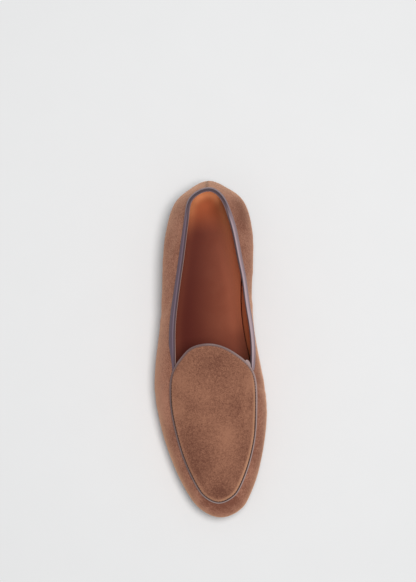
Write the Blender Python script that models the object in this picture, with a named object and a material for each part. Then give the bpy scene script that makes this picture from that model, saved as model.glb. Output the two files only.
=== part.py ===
"""A suede slip-on loafer with a piped apron: the right shoe, standing empty on its sole.

Shapes are worked out in millimetres as (x, along, z) and turned into metres once, in place().
"along" runs from the back of the heel, 0, to the tip of the toe, LENGTH. x is negative on the
lateral side, the outside of the foot, and positive on the medial side. z is the height above the floor.
In the scene the toe points to -Y and the medial side to +X.
"""

import math

import bmesh
import bpy
import numpy as np

# Driving sizes, in millimetres
LENGTH = 296.0
WALL = 2.0  # suede and lining together
GAP = 0.35  # clearance between pieces that touch
SOLE = 4.5  # leather outsole
INSOLE = 2.5  # insole board and leather sock
APRON = 1.5  # suede of the apron, above the vamp
PIPING_RADIUS = 0.9
BINDING = 0.75  # leather of the strip folded over the collar
BINDING_INSIDE = 4.0  # how far the strip reaches down the inside of the collar
BINDING_STOP = 2.9  # the strip's ends stop this far from the apron's edge, clear of the piping
END_SLIDE = 5.0  # the most that the ends are slanted forwards to follow the apron's edge
END_BACK = 1.2  # and the most that they are slanted back
HEEL_BREAST = 78.0  # front face of the heel block, from the heel's back
HEEL_TAPER = 1.5  # how much narrower the heel is at the floor, each side
SOLE_LEDGE = 0.8  # outsole past the upper's bottom edge
SOLE_BEVEL = 0.7
TOE_ROUNDING = 34.0  # length over which the ridge drops to the toe's tip
TOE_FULLNESS = 2.2
VAMP_CROWN = 2.0  # roundness of the vamp's sections at the crown
THROAT_SETBACK = 1.2  # the vamp ends this far inside the apron's free edge
FEATHER_ANGLE = 35.0  # degrees of the lower wall's arc that its bottom edge starts from
CROWN_SHOULDER = 0.72  # the binding's rounded top, as shares of its half width and height
CROWN_SIDE = 0.85
CROWN_TOP = 1.15
INSOLE_MARGIN = 1.0  # insole's edge to the inside of the wall
HEEL_STEP = 0.3  # heel block inside the outsole's edge
BREAST_SLANT = 2.0  # the heel's front face leans back by this at the floor

# Mesh fineness
QUARTER_COLUMNS = 24
VAMP_COLUMNS = 44
CORNER_SWEEP = 32.0  # how far forward the mesh runs from each throat corner to the widest line
THROAT_BLEND = 7  # columns over which the quarters run into the vamp
LOWER_ROWS = 3
UPPER_ROWS = 12
ROW_GATHER = 2.2  # the vamp's rows gather towards the widest line by this power
TURN_WEIGHT = 40.0  # millimetres of run that one radian of turn counts for when points are spread
APRON_POINTS = 56
APRON_RINGS = (1.0, 0.9, 0.72, 0.46, 0.18)
APRON_SPINE = (28.0, 22.0)  # the rings close on a line that stops short of the apron's two ends
PIPING_POINTS = 92
SOLE_STATIONS = 44

MILLIMETRE = 0.001


def table(names, rows):
    """Named columns from rows of numbers."""
    return dict(zip(names.split(), np.array(rows, float).T))


# The last at its widest line, seen from above, with the height of that line (bulge) and how far
# the upper tucks in from it to its bottom edge (tuck), on each side.
LAST = table(
    "along lateral medial lateral_bulge medial_bulge lateral_tuck medial_tuck",
    (
        (6, -18.3, 15.5, 36, 36, 3.6, 3.6),
        (17, -30.2, 28.2, 36, 36, 4.0, 4.0),
        (33, -36.8, 34.7, 36, 37, 4.5, 4.6),
        (54, -40.7, 37.3, 36, 38, 5.4, 5.8),
        (80, -42.5, 36.8, 35, 40, 6.0, 7.0),
        (107, -43.0, 36.3, 33, 40, 5.8, 7.4),
        (134, -45.3, 38.4, 28, 37, 4.8, 6.6),
        (160, -48.7, 43.4, 23.5, 29, 3.4, 5.4),
        (186, -49.2, 48.2, 20.5, 22.5, 2.6, 3.8),
        (207, -46.0, 49.5, 19.5, 20, 2.4, 3.0),
        (228, -40.7, 47.6, 19.5, 19.5, 2.4, 2.6),
        (249, -33.2, 43.8, 20, 20, 2.4, 2.4),
        (265, -25.9, 39.3, 21, 21, 2.4, 2.4),
        (279, -17.7, 33.5, 22, 22, 2.4, 2.4),
        (288, -9.9, 27.4, 23, 23, 2.4, 2.4),
    ),
)
HEEL_BACK_X = -1.4
TOE_TIP_X = 8.9
TOE_TIP_BULGE = 24.0

# The collar's edge on the outer face of the upper, from the heel to the throat.
COLLAR = table(
    "along lateral medial height",
    (
        (19, -16.6, 10.0, 74.0),
        (31, -20.5, 15.7, 72.5),
        (46, -22.4, 20.3, 69.3),
        (71, -25.4, 25.3, 63.5),
        (88, -28.0, 29.2, 60.2),
        (105.5, -30.5, 31.7, 57.7),
        (123, -32.5, 34.9, 56.2),
        (140, -33.0, 36.9, 55.4),
        (153, -32.6, 37.0, 55.0),
        (163, -32.3, 36.1, 54.5),
    ),
)
COLLAR_BACK = (-1.0, 11.5, 74.5)

# How far the folded strip reaches down the outside of the collar, on each side.
STRIP_REACH = table(
    "along lateral medial",
    (
        (12, 3.0, 3.0),
        (32, 1.8, 2.4),
        (46, 2.2, 2.8),
        (60, 2.9, 2.6),
        (76, 3.2, 2.4),
        (93, 3.3, 2.2),
        (108, 4.8, 2.4),
        (125, 5.4, 2.8),
        (160, 6.0, 3.4),
    ),
)
LATERAL_CORNER = (-31.0, 170.0)
MEDIAL_CORNER = (34.4, 171.0)

# The apron's edge, from its free edge over the throat to its front above the toe.
APRON_EDGE = table(
    "along lateral medial",
    (
        (148, -15.4, 11.8),
        (154, -21.8, 21.8),
        (162, -27.7, 30.6),
        (171, -31.7, 35.4),
        (182, -33.0, 37.2),
        (200, -32.1, 37.5),
        (220, -28.3, 36.7),
        (240, -22.6, 33.3),
        (258, -15.1, 27.8),
        (270, -8.5, 22.4),
        (275, -4.2, 18.3),
    ),
)
APRON_TONGUE = (-1.5, 144.9)
APRON_FRONT = (6.9, 280.1)

# The ridge of the vamp, seen from the side, its place across the shoe, and how square its sections are.
RIDGE = table(
    "along height x lateral_fullness medial_fullness",
    (
        (120, 74.0, 2.0, 2.3, 6.0),
        (144, 69.0, 3.0, 2.3, 5.5),
        (165, 63.5, 3.5, 2.3, 3.8),
        (190, 57.0, 3.5, 2.3, 3.0),
        (215, 51.0, 4.0, 2.3, 2.6),
        (240, 45.6, 5.5, 2.3, 2.4),
        (265, 41.0, 7.5, 2.3, 2.3),
        (296, 36.0, 8.9, 2.3, 2.3),
    ),
)

# How high the outsole's underside is off the floor: heel seat, arch, flat tread and toe spring.
UNDERSIDE = table(
    "along rise",
    (
        (0, 14.6),
        (40, 13.8),
        (78, 12.6),
        (104, 9.6),
        (130, 5.4),
        (154, 1.8),
        (176, 0.0),
        (218, 0.0),
        (242, 1.2),
        (264, 3.6),
        (282, 6.6),
        (296, 9.2),
    ),
)

# How much each wall of the quarters bows between its widest line and the collar: 1 is straight.
QUARTER_BOW = table("along bow", ((0, 1.3), (40, 1.4), (90, 1.55), (165, 1.6)))


# Curves


def value(columns, name, along):
    """A column of a table read at any place along the shoe, with no overshoot between its rows."""
    x, y = columns["along"], columns[name]
    steps, rises = np.diff(x), np.diff(y)
    slopes = rises / steps
    inner = np.where(
        slopes[:-1] * slopes[1:] > 0,
        2 * slopes[:-1] * slopes[1:] / (slopes[:-1] + slopes[1:] + 1e-12),
        0.0,
    )
    tangents = np.concatenate([slopes[:1], inner, slopes[-1:]])
    at = np.clip(np.asarray(along, float), x[0], x[-1])
    i = np.clip(np.searchsorted(x, at) - 1, 0, len(steps) - 1)
    t = (at - x[i]) / steps[i]
    return (
        y[i] * (1 + 2 * t) * (1 - t) ** 2
        + tangents[i] * steps[i] * t * (1 - t) ** 2
        + y[i + 1] * t * t * (3 - 2 * t)
        + tangents[i + 1] * steps[i] * t * t * (t - 1)
    )


def spline(points, closed, steps=20):
    """A smooth curve through the points, as a dense line. Its bends change evenly from point to point."""
    p = np.array(points, float)
    if closed:
        p = np.vstack([p, p[:1]])
    spans = len(p) - 1
    h = np.sqrt(np.linalg.norm(np.diff(p, axis=0), axis=1))
    lines = np.diff(p, axis=0) / h[:, None]
    matrix, right = np.zeros((spans + 1, spans + 1)), np.zeros_like(p)
    for i in range(spans + 1):
        if 0 < i < spans or closed:
            before, after = (i - 1) % spans, i % spans
            matrix[i, before] += h[before]
            matrix[i, i % spans] += 2 * (h[before] + h[after])
            matrix[i, (i + 1) % spans if closed else i + 1] += h[after]
            right[i] = 6 * (lines[after] - lines[before])
        else:
            matrix[i, i] = 1.0
    if closed:
        matrix, right = matrix[:spans, :spans], right[:spans]
    bend = np.linalg.solve(matrix, right)
    if closed:
        bend = np.vstack([bend, bend[:1]])
    t = np.linspace(0, 1, steps, endpoint=False)[:, None]
    dense = []
    for i in range(spans):
        a, b = 1 - t, t
        pull = ((a**3 - a) * bend[i] + (b**3 - b) * bend[i + 1]) * h[i] ** 2 / 6
        dense.append(a * p[i] + b * p[i + 1] + pull)
    dense = np.vstack(dense)
    return dense if closed else np.vstack([dense, p[-1:]])


def spread(line, count):
    """count + 1 points along a dense open line, closer together where it turns."""
    steps = np.diff(line, axis=0)
    runs = np.linalg.norm(steps, axis=1)
    headings = np.unwrap(np.arctan2(steps[:, 1], steps[:, 0]))
    turns = np.abs(np.gradient(headings))
    measure = np.concatenate([[0], np.cumsum(runs + TURN_WEIGHT * turns)])
    wanted = np.linspace(0, measure[-1], count + 1)
    return np.stack([np.interp(wanted, measure, line[:, k]) for k in range(line.shape[1])], axis=1)


def loop_through(columns, back, front):
    """A closed dense line: back end, up the medial side, front end, down the lateral side."""
    medial = list(zip(columns["medial"], columns["along"]))
    lateral = list(zip(columns["lateral"], columns["along"]))
    return spline([back, *medial, front, *lateral[::-1]], closed=True)


def inward(loop):
    """Unit directions in the floor plane, pointing into a closed loop."""
    ahead = np.roll(loop, -1, axis=0) - np.roll(loop, 1, axis=0)
    normal = np.stack([-ahead[:, 1], ahead[:, 0]], axis=1)
    return normal / np.linalg.norm(normal, axis=1)[:, None]


def breadth(loop, along):
    """The lateral and medial x of a closed loop at each place along the shoe."""
    along = np.asarray(along, float)
    front = int(np.argmax(loop[:, 1]))
    medial, lateral = loop[: front + 1], np.vstack([loop[front:], loop[:1]])[::-1]
    return (
        np.interp(along, lateral[:, 1], lateral[:, 0]),
        np.interp(along, medial[:, 1], medial[:, 0]),
    )


OUTLINE = loop_through(LAST, (HEEL_BACK_X, 0.0), (TOE_TIP_X, LENGTH))
APRON_LOOP = loop_through(APRON_EDGE, APRON_TONGUE, APRON_FRONT)


def side_value(name, x, along):
    """A lateral and medial pair of the last's columns, read on the side that x is on."""
    middle = np.interp(along, RIDGE["along"], RIDGE["x"])
    return np.where(
        np.asarray(x) < middle,
        value(LAST, "lateral_" + name, along),
        value(LAST, "medial_" + name, along),
    )


def bulge(x, along):
    """Height of the last's widest line."""
    lift = np.clip((np.asarray(along) - LAST["along"][-1]) / (LENGTH - LAST["along"][-1]), 0, 1)
    return side_value("bulge", x, along) * (1 - lift) + TOE_TIP_BULGE * lift


def tucked(extra):
    """The bottom edge of the upper as a closed loop, moved in by a further distance."""
    distance = side_value("tuck", OUTLINE[:, 0], OUTLINE[:, 1]) + extra
    return OUTLINE + inward(OUTLINE) * distance[:, None]


def sole_top(along):
    return value(UNDERSIDE, "rise", along) + SOLE


# The vamp's own function


def vamp_height(x, along):
    """Height of the vamp's outer face: sections square to the shoe, rounded off at the toe."""
    x, along = np.asarray(x, float), np.asarray(along, float)
    lateral, medial = breadth(OUTLINE, along)
    ridge_x = np.clip(value(RIDGE, "x", along), lateral, medial)
    low = bulge(x, along)
    nose = np.clip((along - (LENGTH - TOE_ROUNDING)) / TOE_ROUNDING, 0, 1)
    high = low + (value(RIDGE, "height", along) - low) * np.sqrt(1 - nose**TOE_FULLNESS)
    edge = np.where(x < ridge_x, lateral, medial)
    full = np.where(
        x < ridge_x, value(RIDGE, "lateral_fullness", along), value(RIDGE, "medial_fullness", along)
    )
    out = np.clip(np.abs(x - ridge_x) / np.maximum(np.abs(edge - ridge_x), 1e-6), 0, 1)
    return low + (high - low) * (1 - out**full) ** (1 / VAMP_CROWN)


def vamp_points(plan, lift):
    """Points above the vamp's face, lifted square to it."""
    reach = 0.5
    x, along = plan[:, 0], plan[:, 1]
    slope_x = (vamp_height(x + reach, along) - vamp_height(x - reach, along)) / (2 * reach)
    slope_along = (vamp_height(x, along + reach) - vamp_height(x, along - reach)) / (2 * reach)
    normal = np.stack([-slope_x, -slope_along, np.ones_like(x)], axis=1)
    normal /= np.linalg.norm(normal, axis=1)[:, None]
    return np.column_stack([plan, vamp_height(x, along)]) + normal * lift


def throat_edge():
    """The vamp's edge under the apron's free edge, from the medial corner to the lateral corner."""
    inset = APRON_LOOP + inward(APRON_LOOP) * THROAT_SETBACK
    near_medial = int(np.argmin(np.linalg.norm(inset - MEDIAL_CORNER, axis=1)))
    near_lateral = int(np.argmin(np.linalg.norm(inset - LATERAL_CORNER, axis=1)))
    return np.vstack([inset[near_medial::-1], inset[: near_lateral - 1 : -1]])


def collar_line(corners):
    """The collar's edge from one throat corner round the heel to the other, as (x, along, z)."""
    medial = list(zip(COLLAR["medial"], COLLAR["along"], COLLAR["height"]))
    lateral = list(zip(COLLAR["lateral"], COLLAR["along"], COLLAR["height"]))
    ends = [(*corner, float(vamp_height(*corner))) for corner in corners]
    return spline([ends[0], *lateral[::-1], COLLAR_BACK, *medial, ends[1]], closed=False)


# The upper


def upper_grid():
    """The upper's outer face as rows of points, from its bottom edge to the collar and throat.
    Columns start at the back of the heel and run up the medial side."""
    throat = throat_edge()
    medial_end, lateral_end = throat[0], throat[-1]
    collar = collar_line((lateral_end, medial_end))
    back = int(np.argmax(-collar[:, 1]))
    front = int(np.argmax(OUTLINE[:, 1]))
    medial_foot = int(np.argmin(np.abs(OUTLINE[:front, 1] - medial_end[1] - CORNER_SWEEP)))
    lateral_foot = front + int(np.argmin(np.abs(OUTLINE[front:, 1] - lateral_end[1] - CORNER_SWEEP)))
    tip = int(np.argmin(np.linalg.norm(throat - APRON_TONGUE, axis=1)))
    closing = np.vstack([OUTLINE, OUTLINE[:1]])

    def ring(parts, counts):
        return np.vstack([spread(part, count)[:-1] for part, count in zip(parts, counts)])

    half = VAMP_COLUMNS // 2
    counts = (QUARTER_COLUMNS, half, half, QUARTER_COLUMNS)
    widest = ring(
        (
            closing[: medial_foot + 1],
            closing[medial_foot : front + 1],
            closing[front : lateral_foot + 1],
            closing[lateral_foot:],
        ),
        counts,
    )
    throat_top = np.column_stack([throat, vamp_height(throat[:, 0], throat[:, 1])])
    top = ring((collar[back:], throat_top[: tip + 1], throat_top[tip:], collar[: back + 1]), counts)

    x, along = widest[:, 0], widest[:, 1]
    low = bulge(x, along)
    tuck = side_value("tuck", x, along)
    direction = inward(widest)
    rows = []
    start = math.radians(FEATHER_ANGLE)
    for step in range(LOWER_ROWS):
        angle = start + (math.pi / 2 - start) * step / LOWER_ROWS
        share = (math.sin(angle) - math.sin(start)) / (1 - math.sin(start))
        plan = widest + direction * (tuck * (1 - share))[:, None]
        foot = sole_top(plan[:, 1]) + GAP
        rise = (math.cos(start) - math.cos(angle)) / math.cos(start)
        rows.append(np.column_stack([plan, foot + (low - foot) * rise]))

    columns = np.arange(len(widest))
    past_throat = np.maximum(QUARTER_COLUMNS - columns, columns - QUARTER_COLUMNS - VAMP_COLUMNS)
    ease = np.clip(1 - past_throat / THROAT_BLEND, 0, 1)
    ease = ease * ease * (3 - 2 * ease)
    bow = value(QUARTER_BOW, "bow", top[:, 1])
    for step in range(UPPER_ROWS + 1):
        v = step / UPPER_ROWS
        share = v**bow * (1 - ease) + v**ROW_GATHER * ease
        plan = widest + (top[:, :2] - widest) * share[:, None]
        wall = low + (top[:, 2] - low) * share ** (1 / bow)
        vamp = vamp_height(plan[:, 0], plan[:, 1])
        rows.append(np.column_stack([plan, wall * (1 - ease) + vamp * ease]))
    return np.array(rows)


# Making objects


def place(points):
    """Millimetres along the last to metres in the scene."""
    points = np.asarray(points, float)
    return np.column_stack([points[:, 0], LENGTH / 2 - points[:, 1], points[:, 2]]) * MILLIMETRE


def finish(name, bm, material, smooth_angle=40):
    bmesh.ops.recalc_face_normals(bm, faces=bm.faces)
    mesh = bpy.data.meshes.new(name)
    bm.to_mesh(mesh)
    bm.free()
    mesh.shade_smooth()
    mesh.set_sharp_from_angle(angle=math.radians(smooth_angle))
    return add(name, mesh, material)


def add(name, data, material):
    obj = bpy.data.objects.new(name, data)
    bpy.context.scene.collection.objects.link(obj)
    obj.data.materials.append(material)
    obj.parent = SHOE
    return obj


def material(name, colour, roughness):
    made = bpy.data.materials.new(name)
    made.use_nodes = True
    shader = made.node_tree.nodes["Principled BSDF"]
    shader.inputs["Base Color"].default_value = (*colour, 1.0)
    shader.inputs["Roughness"].default_value = roughness
    shader.inputs["Metallic"].default_value = 0.0
    return made


def ring_of(bm, points):
    return [bm.verts.new(p) for p in place(points)]


def bridge(bm, first, second, closed):
    """Quads between two rows of the same count."""
    count = len(first)
    for i in range(count if closed else count - 1):
        j = (i + 1) % count
        bm.faces.new((first[i], first[j], second[j], second[i]))


def thicken(obj, thickness, side):
    """A wall of even thickness: side 1 grows outwards from the surface, -1 inwards."""
    solidify = obj.modifiers.new("wall", "SOLIDIFY")
    solidify.thickness = thickness * MILLIMETRE
    solidify.offset = side
    solidify.use_even_offset = True
    solidify.use_quality_normals = True


def make_upper(suede):
    bm = bmesh.new()
    rows = [ring_of(bm, row) for row in upper_grid()]
    for lower, higher in zip(rows, rows[1:]):
        bridge(bm, lower, higher, closed=True)
    upper = finish("upper", bm, suede)
    thicken(upper, WALL, -1)


def make_apron(suede):
    """Rings that close in from the apron's edge to a short spine, lifted off the vamp, then thickened."""
    front = int(np.argmax(APRON_LOOP[:, 1]))
    closing = np.vstack([APRON_LOOP, APRON_LOOP[:1]])
    half = APRON_POINTS // 2
    edge = np.vstack([spread(closing[: front + 1], half)[:-1], spread(closing[front:], half)[:-1]])
    spine_along = np.clip(edge[:, 1], APRON_TONGUE[1] + APRON_SPINE[0], APRON_FRONT[1] - APRON_SPINE[1])
    spine = np.column_stack([value(RIDGE, "x", spine_along), spine_along])
    bm = bmesh.new()
    rings = [
        ring_of(bm, vamp_points(spine + (edge - spine) * share, GAP)) for share in APRON_RINGS
    ]
    for outer, inner in zip(rings, rings[1:]):
        bridge(bm, outer, inner, closed=True)
    inner = rings[-1]
    left, right = inner[1:half], inner[: half : -1]
    bm.faces.new((inner[0], left[0], right[0]))
    bm.faces.new((inner[half], left[-1], right[-1]))
    bridge(bm, left, right, closed=False)
    apron = finish("apron", bm, suede)
    thicken(apron, APRON, 1)


def make_piping(leather):
    """A round cord along the whole edge of the apron, resting on the vamp."""
    out = PIPING_RADIUS + GAP
    loop = APRON_LOOP - inward(APRON_LOOP) * out
    closing = np.vstack([loop, loop[:1]])
    plan = spread(closing, PIPING_POINTS)[:-1]
    points = place(vamp_points(plan, GAP + PIPING_RADIUS))
    curve = bpy.data.curves.new("apron_piping", "CURVE")
    curve.dimensions = "3D"
    curve.bevel_depth = PIPING_RADIUS * MILLIMETRE
    curve.bevel_resolution = 1
    line = curve.splines.new("POLY")
    line.points.add(len(points) - 1)
    line.use_cyclic_u = True
    for point, place_of in zip(line.points, points):
        point.co = (*place_of, 1.0)
    add("apron_piping", curve, leather)


def apron_distance(points):
    """How far points are outside the apron's edge, seen from above."""
    offsets = points[:, None, :2] - APRON_LOOP[None]
    nearest = np.argmin(np.linalg.norm(offsets, axis=2), axis=1)
    return -np.sum(offsets[np.arange(len(points)), nearest] * inward(APRON_LOOP)[nearest], axis=1)


def clear_of_apron(points, heading):
    """A strip's end slid along the collar until each point stops short of the piping."""
    moved = np.zeros(len(points))
    for _ in range(60):
        outside = apron_distance(points + heading * moved[:, None])
        moved = np.clip(moved + 0.6 * (outside - BINDING_STOP), -END_BACK, END_SLIDE)
    return points + heading * moved[:, None]


def down_the_wall(column, depth):
    """A point this far down one column of the upper's outer face, and the wall's upward direction there."""
    steps = np.diff(column, axis=0)
    runs = np.concatenate([[0], np.cumsum(np.linalg.norm(steps, axis=1))])
    at = runs[-1] - depth
    i = min(max(int(np.searchsorted(runs, at)) - 1, 0), len(steps) - 1)
    up = steps[i] / np.linalg.norm(steps[i])
    return column[i] + up * (at - runs[i]), up


def binding_ring(column, ahead):
    """The folded strip across one column of the collar: down the outside, over the edge, down the inside."""

    def out_and_up(depth):
        point, up = down_the_wall(column, depth)
        up = up - ahead * np.dot(up, ahead)
        up /= np.linalg.norm(up)
        return point, np.cross(ahead, up), up

    near, far = GAP, GAP + BINDING
    x, along, _ = column[-1]
    side = "lateral" if x < COLLAR_BACK[0] else "medial"
    low_out, out_low, _ = out_and_up(float(value(STRIP_REACH, side, along)))
    low_in, in_low, _ = out_and_up(BINDING_INSIDE)
    top, out, up = out_and_up(0.0)
    middle = top - out * (WALL / 2)
    half = WALL / 2 + far
    return np.array(
        (
            low_out + out_low * far,
            top + out * far,
            middle + out * half * CROWN_SHOULDER + up * far * CROWN_SIDE,
            middle + up * far * CROWN_TOP,
            middle - out * half * CROWN_SHOULDER + up * far * CROWN_SIDE,
            top - out * (WALL + far),
            low_in - in_low * (WALL + far),
            low_in - in_low * (WALL + near),
            top - out * (WALL + near) + up * near,
            top + out * near + up * near,
            low_out + out_low * near,
        )
    )


def make_binding(leather):
    """The strip follows the collar from throat corner to throat corner, and its ends stop at the piping."""
    grid = upper_grid()
    count = grid.shape[1]
    first = QUARTER_COLUMNS + VAMP_COLUMNS
    order = [(first + i) % count for i in range(2 * QUARTER_COLUMNS + 1)]
    ahead = np.gradient(grid[-1][order], axis=0)
    ahead /= np.linalg.norm(ahead, axis=1)[:, None]
    rings = [binding_ring(grid[:, column], ahead[i]) for i, column in enumerate(order)]
    rings[1] = clear_of_apron(rings[1], -ahead[1])
    rings[-2] = clear_of_apron(rings[-2], ahead[-2])
    bm = bmesh.new()
    loops = [ring_of(bm, ring) for ring in rings[1:-1]]
    for one, other in zip(loops, loops[1:]):
        bridge(bm, one, other, closed=True)
    bm.faces.new(loops[0])
    bm.faces.new(loops[-1])
    finish("collar_binding", bm, leather)


def strip(bm, loop, height, stop=None):
    """A surface ruled straight across a closed loop, as its lateral row and medial row of vertices.
    Both rows start and end on the loop's own ends, or at stop where the loop is cut short."""
    low, high = loop[:, 1].min(), loop[:, 1].max() if stop is None else stop
    turn = np.linspace(0, math.pi if stop is None else math.pi / 2, SOLE_STATIONS)
    share = (1 - np.cos(turn)) / (2 if stop is None else 1)
    along = low + (high - low) * share
    lateral, medial = breadth(loop, along)
    z = height(along)
    rows = [ring_of(bm, np.column_stack([x, along, z])) for x in (lateral, medial)]
    for i in (0, -1) if stop is None else (0,):
        bmesh.ops.pointmerge(bm, verts=[rows[0][i], rows[1][i]], merge_co=rows[0][i].co)
        rows[1][i] = rows[0][i] = [v for v in (rows[0][i], rows[1][i]) if v.is_valid][0]
    return rows


def ruled_faces(bm, rows):
    lateral, medial = rows
    for i in range(len(lateral) - 1):
        corners = [lateral[i], lateral[i + 1], medial[i + 1], medial[i]]
        bm.faces.new(list(dict.fromkeys(corners)))


def slab(name, loop, top, bottom, leather, stop=None, bottom_loop=None, bottom_stop=None):
    """A solid between two surfaces ruled across the shoe."""
    bm = bmesh.new()
    upper_rows = strip(bm, loop, top, stop)
    lower_rows = strip(bm, loop if bottom_loop is None else bottom_loop, bottom, bottom_stop or stop)
    ruled_faces(bm, upper_rows)
    ruled_faces(bm, lower_rows)
    for above, below in zip(upper_rows, lower_rows):
        bridge(bm, above, below, closed=False)
    if stop is not None:
        bm.faces.new((upper_rows[0][-1], upper_rows[1][-1], lower_rows[1][-1], lower_rows[0][-1]))
    return finish(name, bm, leather)


def make_sole(edge_leather, sock_leather, heel_leather):
    def underside(along):
        return value(UNDERSIDE, "rise", along)

    outsole = slab("outsole", tucked(-SOLE_LEDGE), sole_top, underside, edge_leather)
    bevel = outsole.modifiers.new("edge", "BEVEL")
    bevel.width = SOLE_BEVEL * MILLIMETRE
    bevel.segments = 1
    bevel.limit_method = "ANGLE"
    bevel.angle_limit = math.radians(60)

    slab(
        "insole",
        tucked(WALL + INSOLE_MARGIN),
        lambda along: sole_top(along) + GAP + INSOLE,
        lambda along: sole_top(along) + GAP,
        sock_leather,
    )
    slab(
        "heel",
        tucked(-SOLE_LEDGE + HEEL_STEP),
        lambda along: underside(along) - GAP,
        np.zeros_like,
        heel_leather,
        stop=HEEL_BREAST,
        bottom_loop=tucked(-SOLE_LEDGE + HEEL_TAPER),
        bottom_stop=HEEL_BREAST - BREAST_SLANT,
    )


for leftover in list(bpy.data.objects):
    bpy.data.objects.remove(leftover)

SHOE = bpy.data.objects.new("loafer", None)
bpy.context.scene.collection.objects.link(SHOE)

brown_suede = material("brown_suede", (0.28, 0.125, 0.08), 0.95)
apron_suede = material("apron_suede", (0.27, 0.12, 0.078), 0.95)
grey_leather = material("grey_leather", (0.125, 0.085, 0.1), 0.45)
tan_leather = material("tan_leather", (0.24, 0.06, 0.03), 0.5)
sole_leather = material("sole_leather", (0.2, 0.085, 0.035), 0.6)
stacked_leather = material("stacked_leather", (0.09, 0.035, 0.018), 0.5)

make_upper(brown_suede)
make_apron(apron_suede)
make_piping(grey_leather)
make_binding(grey_leather)
make_sole(sole_leather, tan_leather, stacked_leather)
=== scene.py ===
# %% [markdown]
# # A suede loafer, seen from above
#
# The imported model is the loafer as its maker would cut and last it: a thin upper, an apron with a
# piped edge, a bound collar, an insole, a sole and a low heel. Here each of those pieces is refined
# and given its finish. No piece is moved as a whole, so the dressed shoe stands where the model does.

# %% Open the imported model
import math

import bpy
import numpy as np
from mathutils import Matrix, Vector
from mathutils.bvhtree import BVHTree


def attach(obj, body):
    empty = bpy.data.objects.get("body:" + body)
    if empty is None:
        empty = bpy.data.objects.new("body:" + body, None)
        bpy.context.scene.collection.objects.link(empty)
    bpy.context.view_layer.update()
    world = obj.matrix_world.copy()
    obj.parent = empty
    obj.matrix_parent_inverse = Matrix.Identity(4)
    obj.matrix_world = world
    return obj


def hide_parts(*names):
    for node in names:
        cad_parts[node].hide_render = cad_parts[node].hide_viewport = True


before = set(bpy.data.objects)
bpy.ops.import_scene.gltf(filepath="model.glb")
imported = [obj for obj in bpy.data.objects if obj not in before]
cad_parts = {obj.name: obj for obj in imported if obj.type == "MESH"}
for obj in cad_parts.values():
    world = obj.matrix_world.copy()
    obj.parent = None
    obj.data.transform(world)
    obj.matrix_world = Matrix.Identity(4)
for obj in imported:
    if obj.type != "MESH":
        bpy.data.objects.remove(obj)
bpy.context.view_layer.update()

MM = 0.001
print("nodes in the model:", ", ".join(sorted(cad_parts)))

# %% [markdown]
# ## Camera, floor and light
#
# The shoe lies straight under the camera, as on a catalogue page: the heel points up the page and
# the toe down. A long lens from high above keeps the heel and toe at nearly one scale. The camera
# hangs over the middle of the shoe and leans a little towards the heel, because the picture has
# more empty floor behind the heel than in front of the toe.

# %% Camera over the shoe
PICTURE_HEIGHT = 582
MM_PER_PIXEL = 0.881
CAMERA_HEIGHT = 1600 * MM
SHOE_LEVEL = 25 * MM
CAMERA_X = -2.4 * MM
AIM_Y = 51.1 * MM
SENSOR = 36.0

bpy.ops.object.select_all(action="DESELECT")
lean = math.atan(AIM_Y / (CAMERA_HEIGHT - SHOE_LEVEL))
bpy.ops.object.camera_add(location=(CAMERA_X, 0, CAMERA_HEIGHT), rotation=(lean, 0, 0))
camera = bpy.context.active_object
camera.name = "camera"
camera.data.sensor_width = SENSOR
sight = math.hypot(AIM_Y, CAMERA_HEIGHT - SHOE_LEVEL)
camera.data.lens = SENSOR * sight / (PICTURE_HEIGHT * MM_PER_PIXEL * MM)
bpy.context.scene.camera = camera
bpy.context.scene.view_settings.view_transform = "Standard"
print("lens", round(camera.data.lens, 1), "mm, leaning", round(math.degrees(lean), 2), "degrees")

# %% [markdown]
# The floor is a plain pale board. One large soft lamp above and to the right does most of the
# work, so that a faint shadow falls to the left of the shoe, and an even pale sky fills the rest.
# The collar leans over the heel and would leave it dim, so a narrow soft spot from the side of the
# toe reaches in under it, as a photographer would use a small mirror.
#
# A node graph can be built by hand in the shader editor. In a script, one small function that adds
# a node, sets it up and links it keeps each material short enough to read from top to bottom.

# %% One function for nodes, one for colours
def linear(code):
    """The linear value of an sRGB hex colour, as a shader socket takes it."""
    parts = [int(code[i:i + 2], 16) / 255 for i in (1, 3, 5)]
    return [c / 12.92 if c <= 0.04045 else ((c + 0.055) / 1.055) ** 2.4 for c in parts] + [1.0]


def add(owner, kind, sockets=None, links=None, **settings):
    """Add a node of this kind, give it its settings and socket values, and link its inputs."""
    tree = owner.node_tree
    made = tree.nodes.new("ShaderNode" + kind)
    for name, value in settings.items():
        setattr(made, name, value)
    for name, value in (sockets or {}).items():
        made.inputs[name].default_value = value
    for name, source in (links or {}).items():
        tree.links.new(source, made.inputs[name])
    return made


def new_material(name, sockets):
    """An empty material with its surface shader; returns both."""
    material = bpy.data.materials.new(name)
    material.use_nodes = True
    material.node_tree.nodes.clear()
    surface = add(material, "BsdfPrincipled", sockets)
    add(material, "OutputMaterial", links={"Surface": surface.outputs["BSDF"]})
    return material, surface


def join(material, source, surface, socket):
    """Link one output to a socket of the surface shader."""
    material.node_tree.links.new(source, surface.inputs[socket])


print("suede brown in linear light:", [round(c, 3) for c in linear("#916250")])

# %% Floor
FLOOR_SIZE = 8.0
FLOOR_GRAIN = 40 * MM

bpy.ops.mesh.primitive_plane_add(size=FLOOR_SIZE, location=(0, 0, 0))
floor = bpy.context.active_object
floor.name = "floor"
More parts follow.
